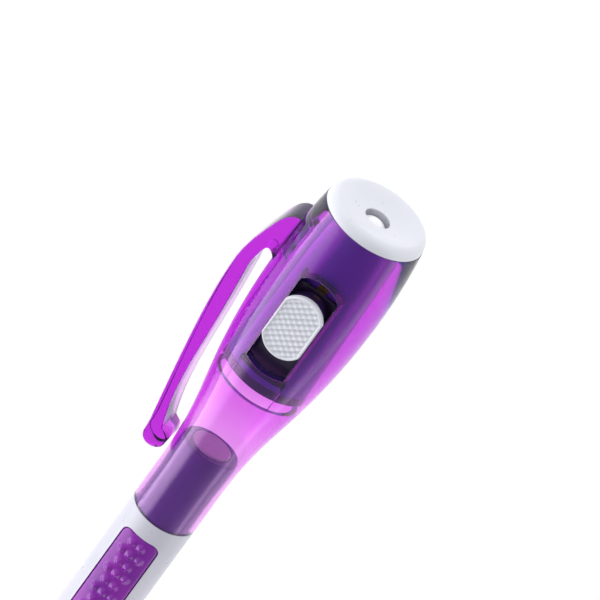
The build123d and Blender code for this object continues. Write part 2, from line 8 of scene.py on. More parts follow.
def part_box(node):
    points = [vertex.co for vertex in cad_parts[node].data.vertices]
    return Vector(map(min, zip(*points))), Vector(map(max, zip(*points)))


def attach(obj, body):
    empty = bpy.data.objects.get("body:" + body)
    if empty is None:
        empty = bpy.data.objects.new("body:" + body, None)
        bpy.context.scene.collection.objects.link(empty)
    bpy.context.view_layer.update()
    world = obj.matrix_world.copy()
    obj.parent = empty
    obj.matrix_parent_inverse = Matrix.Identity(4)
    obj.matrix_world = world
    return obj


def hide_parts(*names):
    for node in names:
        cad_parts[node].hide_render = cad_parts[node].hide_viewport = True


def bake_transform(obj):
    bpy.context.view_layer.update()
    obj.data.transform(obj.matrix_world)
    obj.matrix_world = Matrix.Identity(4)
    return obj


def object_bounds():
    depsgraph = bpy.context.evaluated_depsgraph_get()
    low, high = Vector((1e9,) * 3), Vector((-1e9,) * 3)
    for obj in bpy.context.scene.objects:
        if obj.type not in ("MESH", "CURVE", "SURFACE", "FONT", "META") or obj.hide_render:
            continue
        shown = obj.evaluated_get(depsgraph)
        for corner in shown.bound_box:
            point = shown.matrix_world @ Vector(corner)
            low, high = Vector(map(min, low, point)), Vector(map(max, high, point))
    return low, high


# Counterfeit detector pen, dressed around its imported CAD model. Lengths are millimetres in the row
# frame until a mesh is made; +X runs towards the lamp, +Z to the switch button, +Y to the clip.

MM = 0.001

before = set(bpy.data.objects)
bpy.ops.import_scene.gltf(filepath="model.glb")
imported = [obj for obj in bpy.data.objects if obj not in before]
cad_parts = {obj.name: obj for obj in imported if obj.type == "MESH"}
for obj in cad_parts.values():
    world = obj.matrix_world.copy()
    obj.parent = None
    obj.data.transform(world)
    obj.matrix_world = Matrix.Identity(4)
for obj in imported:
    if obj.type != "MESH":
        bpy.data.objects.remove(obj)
CAD_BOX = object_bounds()


def span(node):
    """A CAD node's lowest and highest corner, in millimetres."""
    low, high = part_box(node)
    return np.array(low) / MM, np.array(high) / MM


TOP = span("head_shell")[1][0]
MOUTH = span("head_shell")[0][0]
SLEEVE_LOW, SLEEVE_HIGH = span("barrel_sleeve")
NECK_END = span("inner_barrel")[1][0]


# ---------------------------------------------------------------- curves
def spline(points, start=None, end=None, count=24):
    """Smooth line through the points, count steps to a span; start and end are directions."""
    p = np.array(points, float)
    n = len(p)
    gap = np.linalg.norm(np.diff(p, axis=0), axis=1)
    rows = np.zeros((n, n))
    right = np.zeros_like(p)
    for i in range(1, n - 1):
        rows[i, i - 1 : i + 2] = gap[i], 2 * (gap[i - 1] + gap[i]), gap[i - 1]
        right[i] = 3 * (
            gap[i] * (p[i] - p[i - 1]) / gap[i - 1] + gap[i - 1] * (p[i + 1] - p[i]) / gap[i]
        )
    for i, other, direction in ((0, 1, start), (n - 1, n - 2, end)):
        if direction is None:
            rows[i, i], rows[i, other] = 2, 1
            right[i] = 3 * (p[max(i, other)] - p[min(i, other)]) / gap[min(i, other)]
        else:
            rows[i, i] = 1
            right[i] = np.array(direction, float) / np.linalg.norm(direction)
    slope = np.linalg.solve(rows, right)
    out = [p[0]]
    for i in range(n - 1):
        for t in np.linspace(0, 1, count + 1)[1:]:
            h = gap[i]
            out.append(
                (2 * t**3 - 3 * t**2 + 1) * p[i]
                + (t**3 - 2 * t**2 + t) * h * slope[i]
                + (3 * t**2 - 2 * t**3) * p[i + 1]
                + (t**3 - t**2) * h * slope[i + 1]
            )
    return np.array(out)


LONGEST_CUT = 0.45
SHORTEST_SIDE = 1e-9


def round_corners(points, radii, steps=4):
    """Open line with each inner corner rounded by its radius; 0 keeps a corner sharp.

    A rounding takes up no more than LONGEST_CUT of either side of its corner.
    """
    p = [np.array(q, float) for q in points]
    out = [p[0]]
    for i in range(1, len(p) - 1):
        r = radii[i] if hasattr(radii, "__len__") else radii
        a, b = p[i - 1] - p[i], p[i + 1] - p[i]
        length_a, length_b = np.linalg.norm(a), np.linalg.norm(b)
        if r <= 0 or min(length_a, length_b) < SHORTEST_SIDE:
            out.append(p[i])
            continue
        a, b = a / length_a, b / length_b
        cut = min(r, LONGEST_CUT * length_a, LONGEST_CUT * length_b)
        for t in np.linspace(0, 1, steps + 1):
            out.append(p[i] + a * cut * (1 - t) ** 2 + b * cut * t**2)
    out.append(p[-1])
    return np.array(out)


def smoothstep(x):
    """Smooth rise from 0 to 1, flat outside that range."""
    x = np.clip(x, 0, 1)
    return x * x * (3 - 2 * x)


# ---------------------------------------------------------------- meshes
SAME_POINT = 1e-7


def make(name, verts, faces, material, body, replaced=(), smooth_deg=35):
    """Mesh object from points in millimetres, shaded smooth up to an angle, riding on its body."""
    mesh = bpy.data.meshes.new(name)
    mesh.from_pydata([tuple(v) for v in np.array(verts, float) * MM], [], faces)
    bm = bmesh.new()
    bm.from_mesh(mesh)
    bmesh.ops.remove_doubles(bm, verts=bm.verts, dist=SAME_POINT)
    bmesh.ops.dissolve_degenerate(bm, edges=bm.edges, dist=SAME_POINT)
    bmesh.ops.recalc_face_normals(bm, faces=bm.faces)
    bm.to_mesh(mesh)
    bm.free()
    piece = bpy.data.objects.new(name, mesh)
    bpy.context.scene.collection.objects.link(piece)
    finish(piece, material, smooth_deg)
    if body:
        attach(piece, body)
    if replaced:
        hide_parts(*replaced)
    return piece


def finish(piece, material, smooth_deg):
    """Give a piece its material and slot, and shade it smooth up to an angle."""
    piece.data.shade_smooth()
    piece.data.set_sharp_from_angle(angle=math.radians(smooth_deg))
    piece.data.materials.clear()
    piece.data.materials.append(material)


def loft(rings, closed_ends=(True, True)):
    """Verts and faces through rings of the same number of points.

    closed_ends says whether the first and the last ring are closed with one flat face each.
    """
    count = len(rings[0])
    verts = np.concatenate(rings)
    faces = []
    for k in range(len(rings) - 1):
        a, b = k * count, (k + 1) * count
        for i in range(count):
            j = (i + 1) % count
            faces.append((a + i, a + j, b + j, b + i))
    if closed_ends[0]:
        faces.append(tuple(range(count))[::-1])
    if closed_ends[1]:
        last = (len(rings) - 1) * count
        faces.append(tuple(range(last, last + count)))
    return verts, faces


def lathe(profile, segments, loop=False):
    """Turn a line of (x, radius) about the X axis; a loop joins its end to its start."""
    angle = np.linspace(0, 2 * math.pi, segments, endpoint=False)
    y, z = np.sin(angle), np.cos(angle)
    rings = [np.column_stack([np.full(segments, x), r * y, r * z]) for x, r in profile]
    if loop:
        rings.append(rings[0])
    return loft(rings, (False, False))


def rounded_ends(length, width, front_rise, back_rise, count=40):
    """Closed outline with straight sides and an arc at each end, as (x, y) points."""

    def arc(half_w, rise):
        r = (half_w**2 + rise**2) / (2 * rise)
        half = math.asin(half_w / r)
        t = np.linspace(-half, half, count)
        return np.column_stack([rise - r + r * np.cos(t), r * np.sin(t)])

    front = arc(width / 2, front_rise) + [length / 2 - front_rise, 0]
    back = arc(width / 2, back_rise)
    back = -back - [length / 2 - back_rise, 0]
    sides = np.linspace(0, 1, count)[1:-1, None]
    return np.concatenate(
        [
            front,
            front[-1] + sides * (back[0] - front[-1]),
            back,
            back[-1] + sides * (front[0] - back[-1]),
        ]
    )


def rounded_box(length, width, corner, count=12, spacing=0.4):
    """Closed outline of a rectangle with round corners, as (x, y) points about spacing apart."""
    out = []
    for cx, cy, turn in ((1, 1, 0), (-1, 1, 90), (-1, -1, 180), (1, -1, 270)):
        t = np.radians(np.linspace(turn, turn + 90, count))
        centre = np.array([cx * (length / 2 - corner), cy * (width / 2 - corner)])
        out.append(centre + corner * np.column_stack([np.cos(t), np.sin(t)]))
    out = np.concatenate(out)
    closed = np.vstack([out, out[:1]])
    dense = []
    for a, b in zip(closed[:-1], closed[1:]):
        steps = max(1, int(np.linalg.norm(b - a) / spacing))
        dense += [a + (b - a) * k / steps for k in range(steps)]
    return np.array(dense)


def offset(outline, distance):
    """Move a closed counter-clockwise outline outwards by distance, along its smoothed normals."""
    ahead = np.roll(outline, -1, axis=0)
    behind = np.roll(outline, 1, axis=0)
    tangent = ahead - behind
    tangent /= np.linalg.norm(tangent, axis=1)[:, None]
    normal = np.column_stack([tangent[:, 1], -tangent[:, 0]])
    return outline + normal * distance


def resample(outline, count):
    """The same closed outline with evenly spaced points."""
    closed = np.vstack([outline, outline[:1]])
    run = np.concatenate([[0], np.cumsum(np.linalg.norm(np.diff(closed, axis=0), axis=1))])
    at = np.linspace(0, run[-1], count, endpoint=False)
    return np.column_stack([np.interp(at, run, closed[:, k]) for k in (0, 1)])


def wrapped(angle):
    """The same angle between -pi and pi."""
    return (angle + math.pi) % (2 * math.pi) - math.pi


ROW_STEP = 0.7
ROW_GAP = 0.05
ANGLE_DIGITS = 9
ANGLE_SLACK = 1e-6
OUTLINE_POINTS = 3000
RING_STEPS = (0.2, 0.4, 0.58, 0.74, 0.87, 0.95, 1.0)
ROUNDING_STEPS = (0.25, 0.5, 0.75, 1.0)
WALL_STEPS = (0.03, 0.97)


def windowed_tube(outer, inner, windows, turns, dent=None):
    """Closed tube with openings cut straight down through its wall.

    outer and inner are lines of (x, radius) from one end to the other, and windows are
    (x centre, turned by, outline, x reach, half angle, edge rounding). Each opening's outline is
    joined to the tube's regular grid by rings that lie on the surface. The wall of an opening has
    a ring close to each edge, so that smooth shading stays flat between them.
    """
    verts, faces = [], []

    def put(side, x, angle, r=None):
        line = outer if side else inner
        radius = np.interp(x, line[:, 0], line[:, 1]) if r is None else r
        if dent is not None and not side:
            radius = radius + dent(x, angle)
        verts.append((x, radius * math.sin(angle), radius * math.cos(angle)))
        return len(verts) - 1

    cuts = [w[0] - w[3] for w in windows] + [w[0] + w[3] for w in windows]
    first_cut, last_cut = min(cuts), max(cuts)
    angles = np.linspace(-math.pi, math.pi, turns, endpoint=False)
    angles = set(np.round(angles, ANGLE_DIGITS))
    for centre, turn, outline, reach, half, rounding in windows:
        for edge in (turn - half, turn + half):
            edge = wrapped(edge)
            near = min(angles, key=lambda q: abs(q - edge))
            angles.discard(near)
            angles.add(round(edge, ANGLE_DIGITS))
    angles = np.array(sorted(angles))
    inside = np.linspace(first_cut, last_cut, int((last_cut - first_cut) / ROW_STEP) + 2)
    grids = []
    for side, line in ((1, outer), (0, inner)):
        before = [(x, r) for x, r in line if x < first_cut - ROW_GAP]
        after = [(x, r) for x, r in line if x > last_cut + ROW_GAP]
        rows = before + [(x, None) for x in inside] + after
        grid = np.array([[put(side, x, a, r) for a in angles] for x, r in rows])
        grids.append((grid, len(before)))
    for grid, skip in grids:
        for i in range(len(grid) - 1):
            for j in range(len(angles)):
                k = (j + 1) % len(angles)
                middle = angles[j] + ((angles[k] - angles[j]) % (2 * math.pi)) / 2
                in_rows = skip <= i < skip + len(inside) - 1
                if in_rows and any(abs(wrapped(middle - w[1])) < w[4] for w in windows):
                    continue
                faces.append((grid[i][j], grid[i][k], grid[i + 1][k], grid[i + 1][j]))
    for end in (0, -1):
        a, b = grids[0][0][end], grids[1][0][end]
        for j in range(len(angles)):
            k = (j + 1) % len(angles)
            faces.append((a[j], a[k], b[k], b[j]))
    for centre, turn, outline, reach, half, rounding in windows:
        wrap = wrapped(angles - turn)
        columns = [j for j in np.argsort(wrap) if abs(wrap[j]) <= half + ANGLE_SLACK]
        wraps = [wrap[j] for j in columns]
        rim = [(0, j) for j in range(len(columns))]
        rim += [(i, len(columns) - 1) for i in range(1, len(inside))]
        rim += [(len(inside) - 1, j) for j in range(len(columns) - 2, -1, -1)]
        rim += [(i, 0) for i in range(len(inside) - 2, 0, -1)]
        rim_x = np.array([inside[i] for i, j in rim])
        rim_w = np.array([wraps[j] for i, j in rim])
        want = np.arctan2(rim_w / half, (rim_x - centre) / reach)
        dense = resample(outline, OUTLINE_POINTS)
        rings = {}
        for side, (grid, skip) in zip((1, 0), grids):
            line = outer if side else inner

            def radius(x):
                return np.interp(x, line[:, 0], line[:, 1])

            def place(flat):
                """(x, y) points on the outline to (x, angle) on this surface."""
                x = flat[:, 0] + centre
                return np.column_stack([x, np.arcsin(flat[:, 1] / radius(x))])

            base = place(dense)
            have = np.arctan2(base[:, 1] / half, (base[:, 0] - centre) / reach)
            order = np.argsort(have)
            have, ordered, count = have[order], dense[order], len(order)
            pick = np.interp(
                want,
                np.concatenate([have[-1:] - 2 * math.pi, have, have[:1] + 2 * math.pi]),
                np.arange(-1, count + 1),
            )
            low = np.floor(pick).astype(int)
            part = (pick - low)[:, None]
            flat = ordered[low % count] * (1 - part) + ordered[(low + 1) % count] * part
            grown = offset(flat, rounding)
            edge = place(grown)
            loops = [[grid[skip + i][columns[j]] for i, j in rim]]
            for t in RING_STEPS:
                x = rim_x + (edge[:, 0] - rim_x) * t
                w = rim_w + (edge[:, 1] - rim_w) * t
                loops.append([put(side, xi, wi + turn, radius(xi)) for xi, wi in zip(x, w)])
            sign = -1 if side else 1
            for t in ROUNDING_STEPS:
                mid = grown * (1 - t) ** 2 + flat * (1 - (1 - t) ** 2)
                x = mid[:, 0] + centre
                z = np.sqrt(radius(x) ** 2 - mid[:, 1] ** 2) + sign * rounding * t**2
                loop = []
                for xi, yi, zi in zip(x, mid[:, 1], z):
                    turned_y = yi * math.cos(turn) + zi * math.sin(turn)
                    turned_z = zi * math.cos(turn) - yi * math.sin(turn)
                    verts.append((xi, turned_y, turned_z))
                    loop.append(len(verts) - 1)
                loops.append(loop)
            rings[side] = loops
        wall = []
        for t in WALL_STEPS:
            loop = []
            for a, b in zip(rings[1][-1], rings[0][-1]):
                verts.append(tuple(np.array(verts[a]) * (1 - t) + np.array(verts[b]) * t))
                loop.append(len(verts) - 1)
            wall.append(loop)
        chain = rings[1] + wall + rings[0][::-1]
        for a, b in zip(chain[:-1], chain[1:]):
            for i in range(len(a)):
                j = (i + 1) % len(a)
                faces.append((a[i], a[j], b[j], b[i]))
    return verts, faces


# ---------------------------------------------------------------- materials
NOISE_RANGE = (0.3, 0.7)


class Nodes:
    """A material being built, with its tree and its Principled shader."""

    def __init__(self, name, **sockets):
        self.material = bpy.data.materials.new(name)
        self.material.use_nodes = True
        self.tree = self.material.node_tree
        self.shader = self.tree.nodes["Principled BSDF"]
        self.output = self.tree.nodes["Material Output"]
        for key, value in sockets.items():
            self.shader.inputs[key.replace("_", " ")].default_value = value

    def add(self, kind, **settings):
        node = self.tree.nodes.new(kind)
        for key, value in settings.items():
            if key in node.bl_rna.properties.keys():
                setattr(node, key, value)
            else:
                node.inputs[key.replace("_", " ")].default_value = value
        return node

    def link(self, a, b):
        self.tree.links.new(a, b)

    def noise(self, scale, detail=2.0, stretch=(1, 1, 1)):
        """Noise in the piece's own metres, so it moves with the piece and needs no UVs."""
        coordinates = self.add("ShaderNodeTexCoord")
        mapping = self.add("ShaderNodeMapping")
        mapping.inputs["Scale"].default_value = stretch
        self.link(coordinates.outputs["Object"], mapping.inputs["Vector"])
        noise = self.add("ShaderNodeTexNoise", Scale=scale, Detail=detail)
        self.link(mapping.outputs["Vector"], noise.inputs["Vector"])
        return noise.outputs["Fac"]

    def vary(self, socket, factor, low, high):
        """Drive a shader socket between two values or colours by a factor."""
        if isinstance(low, tuple):
            ramp = self.add("ShaderNodeValToRGB")
            for element, at, color in zip(ramp.color_ramp.elements, NOISE_RANGE, (low, high)):
                element.position = at
                element.color = (*color, 1)
            self.link(factor, ramp.inputs["Fac"])
            self.link(ramp.outputs["Color"], self.shader.inputs[socket])
        else:
            ramp = self.add(
                "ShaderNodeMapRange",
                From_Min=NOISE_RANGE[0],
                From_Max=NOISE_RANGE[1],
                To_Min=low,
                To_Max=high,
            )
            self.link(factor, ramp.inputs["Value"])
            self.link(ramp.outputs["Result"], self.shader.inputs[socket])

    def bump(self, factor, strength, depth_mm):
        node = self.add("ShaderNodeBump", Strength=strength, Distance=depth_mm * MM)
        self.link(factor, node.inputs["Height"])
        self.link(node.outputs["Normal"], self.shader.inputs["Normal"])

    def absorb(self, color, density):
        volume = self.add("ShaderNodeVolumeAbsorption", Color=(*color, 1), Density=density)
        self.link(volume.outputs["Volume"], self.output.inputs["Volume"])


def clear_purple():
    """Transparent purple moulding: clear skin, colour from depth, faint flow waviness."""
    m = Nodes("clear_purple", Base_Color=(1, 1, 1, 1), Transmission_Weight=1.0, IOR=1.49)
    m.vary("Roughness", m.noise(scale=900, detail=3), 0.015, 0.05)
    m.bump(m.noise(scale=260, detail=1, stretch=(0.3, 1, 1)), strength=0.10, depth_mm=0.05)
    m.absorb((0.84, 0.02, 0.91), density=680)
    return m.material


def moulded(name, low, high, roughness, depth_mm=0.01):
    """Opaque moulded plastic: slight colour drift, fine grain and uneven gloss."""
    m = Nodes(name)
    m.vary("Base Color", m.noise(scale=120, detail=3), low, high)
    m.vary("Roughness", m.noise(scale=700, detail=4), roughness * 0.85, roughness * 1.15)
    m.bump(m.noise(scale=2500, detail=3), strength=0.12, depth_mm=depth_mm)
    return m.material


def metal(name, low, high, roughness, stretch=(1, 1, 1)):
    """Bare or plated metal, with fine marks that may be drawn out along an axis."""
    m = Nodes(name, Metallic=1.0)
    m.vary("Base Color", m.noise(500, 3, stretch), low, high)
    m.vary("Roughness", m.noise(1800, 3, stretch), roughness * 0.7, roughness * 1.3)
    m.bump(m.noise(3000, 3, stretch), strength=0.2, depth_mm=0.01)
    return m.material


def clear_resin(name, roughness, tint, ior):
    """Thin clear film with uneven gloss."""
    m = Nodes(name, Base_Color=(*tint, 1), Transmission_Weight=1.0, IOR=ior)
    m.vary("Roughness", m.noise(scale=800, detail=2), roughness * 0.6, roughness * 1.4)
    m.bump(m.noise(scale=600, detail=1), strength=0.05, depth_mm=0.02)
    return m.material


def felt(name, low, high):
    """Matt bundle of fibres that run along the pen."""
    m = Nodes(name)
    m.vary("Base Color", m.noise(2500, 5, (0.08, 1, 1)), low, high)
    m.vary("Roughness", m.noise(scale=900, detail=3), 0.8, 0.98)
    m.bump(m.noise(5000, 5, (0.1, 1, 1)), strength=0.6, depth_mm=0.03)
    return m.material


PURPLE = clear_purple()
WHITE = moulded("white_plastic", (0.69, 0.71, 0.78), (0.74, 0.75, 0.82), 0.32, 0.002)
# The sleeve's plastic is the same white as the bezel and button; this copy is darker as painted
# shade
SHADED_WHITE = moulded("white_plastic_painted_shade", (0.58, 0.58, 0.67), (0.63, 0.62, 0.72), 0.32, 0.002)
PLUG = moulded("plug_plastic", (0.88, 0.84, 0.90), (0.93, 0.89, 0.95), 0.3)
TUBE = moulded("purple_tube", (0.13, 0.02, 0.36), (0.17, 0.03, 0.44), 0.13, 0.004)
GRIP = moulded("grip_rubber", (0.17, 0.007, 0.31), (0.33, 0.014, 0.45), 0.13, 0.004)
CARRIER = moulded("carrier_plastic", (0.12, 0.026, 0.46), (0.155, 0.037, 0.54), 0.16, 0.004)
COVER = moulded("cover_plastic", (0.03, 0.012, 0.12), (0.045, 0.02, 0.16), 0.25)
SLIDER = moulded("slider_plastic", (0.025, 0.012, 0.05), (0.04, 0.02, 0.075), 0.22)
SECTION = moulded("section_plastic", (0.62, 0.63, 0.67), (0.68, 0.69, 0.73), 0.45)
LAMP = moulded("lamp_resin", (0.90, 0.90, 0.94), (0.95, 0.95, 0.98), 0.15, 0.004)
FILM = clear_resin("clear_film", 0.12, (0.9, 0.9, 0.9), 1.45)
NICKEL = metal("nickel_plate", (0.62, 0.61, 0.58), (0.72, 0.71, 0.69), 0.22)
SATIN = metal("satin_nickel", (0.50, 0.50, 0.54), (0.58, 0.58, 0.62), 0.45)
CELL = metal("cell_steel", (0.55, 0.55, 0.56), (0.66, 0.66, 0.67), 0.3, (6, 1, 1))
COPPER = metal("copper_alloy", (0.40, 0.22, 0.11), (0.50, 0.30, 0.16), 0.3, (1, 5, 1))
FELT = felt("ink_fibre", (0.50, 0.33, 0.10), (0.66, 0.46, 0.17))


CAD_SMOOTH = 30


def keep(nodes, material):
    """A CAD node whose shape is right stays and takes a material."""
    for name in nodes:
        finish(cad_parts[name], material, CAD_SMOOTH)


# ---------------------------------------------------------------- head shell
# Distances back from the head's top, with the radius there.
HEAD_LINE = ((0, 7.75), (14.0, 8.629), (31.5, 7.15), (41.0, 5.55), (50.2, 5.0))
HEAD_TOP_WAY = (-1, 0.14)
BORE_R = 6.35
LEDGE = 31.0
LEDGE_R = 5.5
LEDGE_STEP = 1.5
SOCKET_R = 4.45
SOCKET_STRAIGHT = 6.0
SOCKET_SPARE = 0.4
MOUTH_LIP = 0.3
TOP_LIP = 0.6
OUTER_EDGE = 0.12
MOUTH_EDGE = 0.15
INNER_EDGE = 0.12
LEDGE_EDGE = 0.18
SOCKET_BEND = 1.2
HEAD_TURNS = 200


def back(points):
    """Points measured back from the head's top, as (x, radius)."""
    return [(TOP - d, r) for d, r in points]


def dense_line(line, step=0.9):
    """The same line with points added where two are more than about a step apart along X."""
    out = [line[0]]
    for a, b in zip(line[:-1], line[1:]):
        steps = max(1, int(abs(b[0] - a[0]) / step))
        out += [a + (b - a) * k / steps for k in range(1, steps + 1)]
    return np.array(out)


swell = spline(back(HEAD_LINE), start=HEAD_TOP_WAY, end=(-1, 0), count=16)
top_edge = [(TOP, BORE_R + TOP_LIP), (TOP, swell[0][1]), swell[1]]
mouth_edge = [swell[-1], (MOUTH, swell[-1][1]), (MOUTH, SOCKET_R + MOUTH_LIP)]
head_outer = np.vstack(
    [
        round_corners(top_edge, OUTER_EDGE)[:-1],
        swell[1:],
        round_corners(mouth_edge, MOUTH_EDGE)[1:],
    ]
)[::-1]
ledge_x = TOP - LEDGE
head_inner = round_corners(
    [
        (MOUTH, SOCKET_R + MOUTH_LIP),
        (MOUTH, SOCKET_R),
        (MOUTH + SOCKET_STRAIGHT, SOCKET_R),
        (NECK_END + SOCKET_SPARE, SOCKET_R),
        (ledge_x, LEDGE_R),
        (ledge_x, BORE_R),
        (ledge_x + LEDGE_STEP, BORE_R),
        (TOP, BORE_R),
        (TOP, BORE_R + TOP_LIP),
    ],
    [0, INNER_EDGE, 0, SOCKET_BEND, LEDGE_EDGE, INNER_EDGE, 0, INNER_EDGE, 0],
)

BUTTON_WIDTH = 6.3
GROOVE_DEPTH = 0.3
GROOVE_SPARE = 0.1
GROOVE_SPAN = (ledge_x + 0.05, ledge_x + 5.5)


def groove(x, angle):
    """Depth of the shallow guide for the switch, let into the bore between window and ledge."""
    width = BUTTON_WIDTH / 2 + GROOVE_SPARE
    near = abs(BORE_R * math.sin(angle)) < width and abs(angle) < math.pi / 2
    return GROOVE_DEPTH if near and GROOVE_SPAN[0] < x < GROOVE_SPAN[1] else 0.0


WINDOW = (8.0, 25.3)
WINDOW_SPARE = 0.12
WINDOW_ARCH = 1.6
WINDOW_SAG = 0.6
WINDOW_MARGIN = 1.6
WINDOW_HALF_TURN = math.radians(42)
WINDOW_ROUNDING = 0.07
window_mid = TOP - sum(WINDOW) / 2
window_long = WINDOW[1] - WINDOW[0]
window_plan = rounded_ends(window_long, BUTTON_WIDTH + WINDOW_SPARE, WINDOW_ARCH, WINDOW_SAG)
window_reach = window_long / 2 + WINDOW_MARGIN
head_window = (window_mid, 0.0, window_plan, window_reach, WINDOW_HALF_TURN, WINDOW_ROUNDING)
verts, faces = windowed_tube(
    dense_line(head_outer), dense_line(head_inner), [head_window], HEAD_TURNS, groove
)
make("clear_head", verts, faces, PURPLE, "pen", ["head_shell"])

SHADE_SHEET_SUNK = 0.03
SHADE_SHEET_PROUD = 0.04
SHADE_SHEET_POINTS = 400
SHADE_SHEET_OVER_BORE = 0.02
SHADE_SHEET_UNDER_EDGE = 0.12


def shade_sheet_mesh():
    """Thin dark sheet of painted shade let into the window's wall, from the bore to just under its
    outer edge.
    """
    plan = resample(window_plan, SHADE_SHEET_POINTS)
    loops = []
    for grow, outer in (
        (SHADE_SHEET_SUNK, False),
        (SHADE_SHEET_SUNK, True),
        (-SHADE_SHEET_PROUD, True),
        (-SHADE_SHEET_PROUD, False),
    ):
        shape = offset(plan, grow)
        x = shape[:, 0] + window_mid
        r = BORE_R + SHADE_SHEET_OVER_BORE
        if outer:
            r = np.interp(x, head_outer[:, 0], head_outer[:, 1]) - SHADE_SHEET_UNDER_EDGE
        z = np.sqrt(r**2 - shape[:, 1] ** 2)
        loops.append(np.column_stack([x, shape[:, 1], z]))
    return loft(loops + loops[:1], (False, False))


# Painted shade: a dark sheet in the window's wall that darkens it where the wall is only in shade;
# it uses the cell cover's dark plastic
verts, faces = shade_sheet_mesh()
make("window_painted_shade", verts, faces, COVER, "pen")

# ---------------------------------------------------------------- clip
# The clip's side view, as distances back from the head's top and heights over the pen's axis:
# the outer side from the root over the shoulder to the bead, then the inner side likewise.
SHOULDER_LINE = ((5.25, 7.5), (5.6, 8.9), (9.4, 11.15), (16.5, 12.52))
OUTER_LINE = ((16.5, 12.52), (31.5, 11.2), (45.5, 9.0))
CROOK_LINE = ((13.6, 7.95), (12.5, 8.75), (12.15, 9.5), (13.6, 10.2), (17.0, 10.4))
INNER_LINE = ((17.0, 10.4), (29.0, 9.4), (42.4, 7.8), (45.25, 7.0))
ROOT_WAY = (-0.2, 1)
CROOK_WAY = (0.8, 0.6)
ARM_WAY = (-1, 0)
INNER_WAY = (-1, -0.1)
CLIP_HALF = 2.8
CLIP_EDGE = 0.2
THIN_EDGE = 0.49
CLIP_DRAFT = 0.25
TIP_DRAFT = 0.5
DRAFT_FADE = 0.7
ROOT_STATIONS = 60
ARM_STATIONS = 80
BEAD_MID = np.array([TOP - 47.1, 7.15])
BEAD_R = 1.75
BEAD_WAY = np.array([-0.93, -0.37])
BEAD_SIDE = np.array([-0.37, 0.93])
BEAD_TURNS = np.radians(np.linspace(62, 174, 26))
BEAD_NARROWING = 0.4


def redrawn(line, count):
    """The same open line with count evenly spaced points."""
    run = np.concatenate([[0], np.cumsum(np.linalg.norm(np.diff(line, axis=0), axis=1))])
    at = np.linspace(0, run[-1], count)
    return np.column_stack([np.interp(at, run, line[:, k]) for k in (0, 1)])


def clip_stations():
    """Outer point, inner point, inner draft and half width, from the clip's root to its bead."""
    shoulder = spline(back(SHOULDER_LINE), ROOT_WAY, ARM_WAY, count=14)
    outer = spline(back(OUTER_LINE), ARM_WAY, count=18)
    crook = spline(back(CROOK_LINE), CROOK_WAY, INNER_WAY, count=10)
    inner = spline(back(INNER_LINE), INNER_WAY)
    stations = []
    for far, near, count, first, last in (
        (shoulder, crook, ROOT_STATIONS, 0.0, 1.0),
        (outer, inner, ARM_STATIONS, 1.0, TIP_DRAFT),
    ):
        part = zip(np.linspace(0, 1, count), redrawn(far, count), redrawn(near, count))
        for t, a, b in list(part)[:-1]:
            fade = smoothstep((t - DRAFT_FADE) / (1 - DRAFT_FADE))
            draft = first + (last - first) * fade
            stations.append((a, b, CLIP_DRAFT * draft, CLIP_HALF))
    stations.append((outer[-1], inner[-1], CLIP_DRAFT * TIP_DRAFT, CLIP_HALF))
    for turn in BEAD_TURNS:
        mid = BEAD_MID - BEAD_R * math.cos(turn) * BEAD_WAY
        side = BEAD_R * math.sin(turn) * BEAD_SIDE
        narrow = BEAD_NARROWING * (1 - math.sin(turn)) if turn > math.pi / 2 else 0
        draft = CLIP_DRAFT * max(0, math.cos(turn))
        stations.append((mid + side, mid - side, draft, CLIP_HALF - narrow))
    return stations


def clip_mesh():
    """Loft through round-cornered sections, each drawn from its outer to its inner point."""
    turn = np.linspace(0, math.pi / 2, 6)
    rings = []
    for a, b, draft, half in clip_stations():
        thick = np.linalg.norm(b - a)
        r = min(CLIP_EDGE, THIN_EDGE * thick)
        corners = []
        for across, z, start in ((1, 1, 0), (0, 1, 1), (0, -1, 2), (1, -1, 3)):
            centre = np.array([thick - r if across else r, z * (half - r)])
            t = turn + start * math.pi / 2
            if (across, z) == (1, -1):
                centre[0] += draft
            corners.append(centre + r * np.column_stack([np.cos(t), np.sin(t)]))
        loop = np.concatenate(corners)
        flat = a + np.outer(loop[:, 0] / thick, b - a)
        rings.append(np.column_stack([flat, loop[:, 1]]))
    return loft(rings)


verts, faces = clip_mesh()
clear_clip = make("clear_clip", verts, faces, PURPLE, None, ["pocket_clip"])
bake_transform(clear_clip)

# ---------------------------------------------------------------- lamp bezel
FACE_RISE = 0.65
RIM_LINE = ((0, 7.70), (1.12, 7.33), (1.65, 6.45))
DISH_LINE = ((1.65, 6.45), (1.2, 4.4), (FACE_RISE, 1.95))
HOLE_R = DISH_LINE[-1][1]
RING_R = 2.15
LAMP_BORE_R = 2.55
FLANGE_BORE_R = 3.3
LAMP_SEAT = 2.8
PLATE_BACK = 0.9
SPIGOT_R = 5.3
SPIGOT_WALL = 0.9
SPIGOT_LONG = 2.6
RIM_LIP = 0.06
BEZEL_EDGE = 0.09
RING_EDGE = 0.03
face = TOP + FACE_RISE
rim = spline([(TOP + rise, r) for rise, r in RIM_LINE], (0.9, -0.02), (0, -1), count=14)
dish = spline([(TOP + rise, r) for rise, r in DISH_LINE], (0, -1), (-0.1, -1), count=16)
ring_low, ring_high = (corner[0] for corner in span("lamp_ring"))
